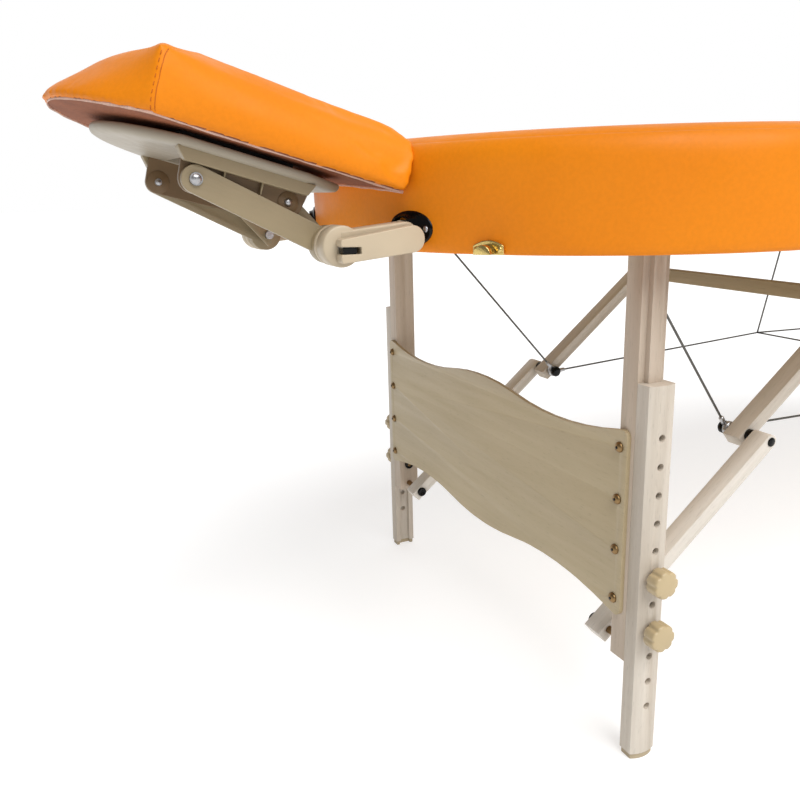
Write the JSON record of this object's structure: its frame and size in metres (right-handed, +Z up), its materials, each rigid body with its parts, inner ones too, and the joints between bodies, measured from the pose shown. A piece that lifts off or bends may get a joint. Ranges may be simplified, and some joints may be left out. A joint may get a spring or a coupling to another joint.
{
  "type": "folding massage table",
  "caption": "Folding wooden treatment table with an oval padded top that hinges in the middle, height-adjustable legs on cable braces and a tilting plug-in headrest.",
  "frame": {"origin": "on the floor under the middle of the whole length, headrest included", "axes": "+X from the headrest to the foot end, +Y to the left side, +Z up"},
  "size_m": [2.1894, 0.767, 0.734],
  "materials": {
    "vinyl": "smooth soft vinyl with a low sheen",
    "beech": "pale clear-lacquered beech",
    "panel_ply": "smooth lacquered plywood",
    "frame_wood": "plain sanded wood",
    "foot_rubber": "matt",
    "knob_plastic": "moulded, low gloss",
    "beige_plastic": "fine moulded grain",
    "black_plastic": "gloss",
    "steel": "bright zinc",
    "bronze": "burnished",
    "brass": "polished",
    "hook_tape": "looped tape"
  },
  "bodies": {
    "head_half": {"head_pad": "vinyl", "head_side_cover": "vinyl", "head_deck": "frame_wood", "head_end_rail": "frame_wood", "head_side_rails": "frame_wood", "head_fold_rail": "frame_wood", "head_pivot_blocks": "frame_wood", "head_hinge_leaf": "steel", "headrest_sockets": "black_plastic", "latch_plates": "brass", "steel_cables": "steel"},
    "foot_half": {"foot_pad": "vinyl", "foot_side_cover": "vinyl", "foot_deck": "frame_wood", "foot_end_rail": "frame_wood", "foot_side_rails": "frame_wood", "foot_fold_rail": "frame_wood", "foot_pivot_blocks": "frame_wood", "foot_hinge_leaf": "steel", "latch_keepers": "brass"},
    "head_legs": {"head_upper_legs": "beech", "head_leg_panel": "panel_ply", "head_leg_fasteners": "bronze"},
    "head_left_lower_leg": {"head_left_lower_leg": "beech", "head_left_foot": "foot_rubber"},
    "head_left_knob_high": {"head_left_knob_high": "knob_plastic"},
    "head_left_knob_low": {"head_left_knob_low": "knob_plastic"},
    "head_left_lower_brace": {"head_left_lower_brace": "beech"},
    "head_right_lower_leg": {"head_right_lower_leg": "beech", "head_right_foot": "foot_rubber"},
    "head_right_knob_high": {"head_right_knob_high": "knob_plastic"},
    "head_right_knob_low": {"head_right_knob_low": "knob_plastic"},
    "head_right_lower_brace": {"head_right_lower_brace": "beech"},
    "head_upper_braces": {"head_upper_braces": "beech", "head_stretcher": "beech"},
    "foot_legs": {"foot_upper_legs": "beech", "foot_leg_panel": "panel_ply", "foot_leg_fasteners": "bronze"},
    "foot_left_lower_leg": {"foot_left_lower_leg": "beech", "foot_left_foot": "foot_rubber"},
    "foot_left_knob_high": {"foot_left_knob_high": "knob_plastic"},
    "foot_left_knob_low": {"foot_left_knob_low": "knob_plastic"},
    "foot_left_lower_brace": {"foot_left_lower_brace": "beech"},
    "foot_right_lower_leg": {"foot_right_lower_leg": "beech", "foot_right_foot": "foot_rubber"},
    "foot_right_knob_high": {"foot_right_knob_high": "knob_plastic"},
    "foot_right_knob_low": {"foot_right_knob_low": "knob_plastic"},
    "foot_right_lower_brace": {"foot_right_lower_brace": "beech"},
    "foot_upper_braces": {"foot_upper_braces": "beech", "foot_stretcher": "beech"},
    "headrest_base": {"headrest_prongs": "beige_plastic"},
    "headrest": {"headrest_cushion": "vinyl", "headrest_platform": "beige_plastic", "hook_strips": "hook_tape", "headrest_arms": "beige_plastic", "headrest_pins": "steel"},
    "cam_lever_left": {"cam_lever_left": "beige_plastic"},
    "cam_lever_right": {"cam_lever_right": "beige_plastic"},
    "latch_turn_left": {"latch_turn_left": "brass"},
    "latch_turn_right": {"latch_turn_right": "brass"}
  },
  "joints": [
    {"name": "table_fold", "type": "hinge", "parent": "head_half", "child": "foot_half", "pos_m": [0.148, 0, 0.5453], "axis": [0, 1, 0], "range_deg": [0, 85], "deforming": ["steel_cables"]},
    {"name": "head_leg_fold", "type": "hinge", "parent": "head_half", "child": "head_legs", "pos_m": [-0.587, 0, 0.572], "axis": [0, -1, 0], "range_deg": [0, 90], "deforming": ["steel_cables"]},
    {"name": "head_left_height", "type": "slide", "parent": "head_legs", "child": "head_left_lower_leg", "axis": [0, 0, 1], "range_m": [-0.15, 0.09]},
    {"name": "head_left_knob_high_turn", "type": "hinge", "parent": "head_legs", "child": "head_left_knob_high", "pos_m": [-0.587, 0.3283, 0.215], "axis": [0, 1, 0], "continuous": true},
    {"name": "head_left_knob_low_turn", "type": "hinge", "parent": "head_legs", "child": "head_left_knob_low", "pos_m": [-0.587, 0.3283, 0.155], "axis": [0, 1, 0], "continuous": true},
    {"name": "head_left_lower_brace_fold", "type": "hinge", "parent": "head_legs", "child": "head_left_lower_brace", "pos_m": [-0.587, 0.24, 0.122], "axis": [0, -1, 0], "range_deg": [0, 51.02], "deforming": ["steel_cables"]},
    {"name": "head_right_height", "type": "slide", "parent": "head_legs", "child": "head_right_lower_leg", "axis": [0, 0, 1], "range_m": [-0.15, 0.09]},
    {"name": "head_right_knob_high_turn", "type": "hinge", "parent": "head_legs", "child": "head_right_knob_high", "pos_m": [-0.587, -0.3283, 0.215], "axis": [0, -1, 0], "continuous": true},
    {"name": "head_right_knob_low_turn", "type": "hinge", "parent": "head_legs", "child": "head_right_knob_low", "pos_m": [-0.587, -0.3283, 0.155], "axis": [0, -1, 0], "continuous": true},
    {"name": "head_right_lower_brace_fold", "type": "hinge", "parent": "head_legs", "child": "head_right_lower_brace", "pos_m": [-0.587, -0.24, 0.122], "axis": [0, -1, 0], "range_deg": [0, 51.02], "deforming": ["steel_cables"]},
    {"name": "head_upper_braces_fold", "type": "hinge", "parent": "head_half", "child": "head_upper_braces", "pos_m": [-0.022, 0, 0.578], "axis": [0, 1, 0], "range_deg": [0, 38.92], "deforming": ["steel_cables"]},
    {"name": "foot_leg_fold", "type": "hinge", "parent": "foot_half", "child": "foot_legs", "pos_m": [0.883, 0, 0.572], "axis": [0, 1, 0], "range_deg": [0, 90], "deforming": ["steel_cables"]},
    {"name": "foot_left_height", "type": "slide", "parent": "foot_legs", "child": "foot_left_lower_leg", "axis": [0, 0, 1], "range_m": [-0.15, 0.09]},
    {"name": "foot_left_knob_high_turn", "type": "hinge", "parent": "foot_legs", "child": "foot_left_knob_high", "pos_m": [0.883, 0.3283, 0.215], "axis": [0, 1, 0], "continuous": true},
    {"name": "foot_left_knob_low_turn", "type": "hinge", "parent": "foot_legs", "child": "foot_left_knob_low", "pos_m": [0.883, 0.3283, 0.155], "axis": [0, 1, 0], "continuous": true},
    {"name": "foot_left_lower_brace_fold", "type": "hinge", "parent": "foot_legs", "child": "foot_left_lower_brace", "pos_m": [0.883, 0.24, 0.122], "axis": [0, 1, 0], "range_deg": [0, 51.02], "deforming": ["steel_cables"]},
    {"name": "foot_right_height", "type": "slide", "parent": "foot_legs", "child": "foot_right_lower_leg", "axis": [0, 0, 1], "range_m": [-0.15, 0.09]},
    {"name": "foot_right_knob_high_turn", "type": "hinge", "parent": "foot_legs", "child": "foot_right_knob_high", "pos_m": [0.883, -0.3283, 0.215], "axis": [0, -1, 0], "continuous": true},
    {"name": "foot_right_knob_low_turn", "type": "hinge", "parent": "foot_legs", "child": "foot_right_knob_low", "pos_m": [0.883, -0.3283, 0.155], "axis": [0, -1, 0], "continuous": true},
    {"name": "foot_right_lower_brace_fold", "type": "hinge", "parent": "foot_legs", "child": "foot_right_lower_brace", "pos_m": [0.883, -0.24, 0.122], "axis": [0, 1, 0], "range_deg": [0, 51.02], "deforming": ["steel_cables"]},
    {"name": "foot_upper_braces_fold", "type": "hinge", "parent": "foot_half", "child": "foot_upper_braces", "pos_m": [0.318, 0, 0.578], "axis": [0, -1, 0], "range_deg": [0, 38.92], "deforming": ["steel_cables"]},
    {"name": "headrest_slide", "type": "slide", "parent": "head_half", "child": "headrest_base", "axis": [-1, 0, 0], "range_m": [0, 0.06]},
    {"name": "headrest_tilt", "type": "hinge", "parent": "headrest_base", "child": "headrest", "pos_m": [-0.851, 0, 0.555], "axis": [0, 1, 0], "range_deg": [-45, 0]},
    {"name": "cam_lever_left_swing", "type": "hinge", "parent": "headrest_base", "child": "cam_lever_left", "pos_m": [-0.851, 0.1693, 0.555], "axis": [0, 0, 1], "range_deg": [0, 100]},
    {"name": "cam_lever_right_swing", "type": "hinge", "parent": "headrest_base", "child": "cam_lever_right", "pos_m": [-0.851, -0.1693, 0.555], "axis": [0, 0, -1], "range_deg": [0, 100]},
    {"name": "latch_turn_left_swivel", "type": "hinge", "parent": "head_half", "child": "latch_turn_left", "pos_m": [-0.73345, 0.23207, 0.546], "axis": [-0.8443, 0.5358, 0], "range_deg": [0, 180]},
    {"name": "latch_turn_right_swivel", "type": "hinge", "parent": "head_half", "child": "latch_turn_right", "pos_m": [-0.73345, -0.23207, 0.546], "axis": [-0.8443, -0.5358, 0], "range_deg": [0, 180]}
  ],
  "couplings": [
    {"joint": "head_left_lower_brace_fold", "follows": "head_leg_fold", "ratio": 0.56467},
    {"joint": "head_right_lower_brace_fold", "follows": "head_leg_fold", "ratio": 0.56467},
    {"joint": "head_upper_braces_fold", "follows": "head_leg_fold", "ratio": 0.43024},
    {"joint": "foot_left_lower_brace_fold", "follows": "foot_leg_fold", "ratio": 0.56467},
    {"joint": "foot_right_lower_brace_fold", "follows": "foot_leg_fold", "ratio": 0.56467},
    {"joint": "foot_upper_braces_fold", "follows": "foot_leg_fold", "ratio": 0.43024}
  ]
}
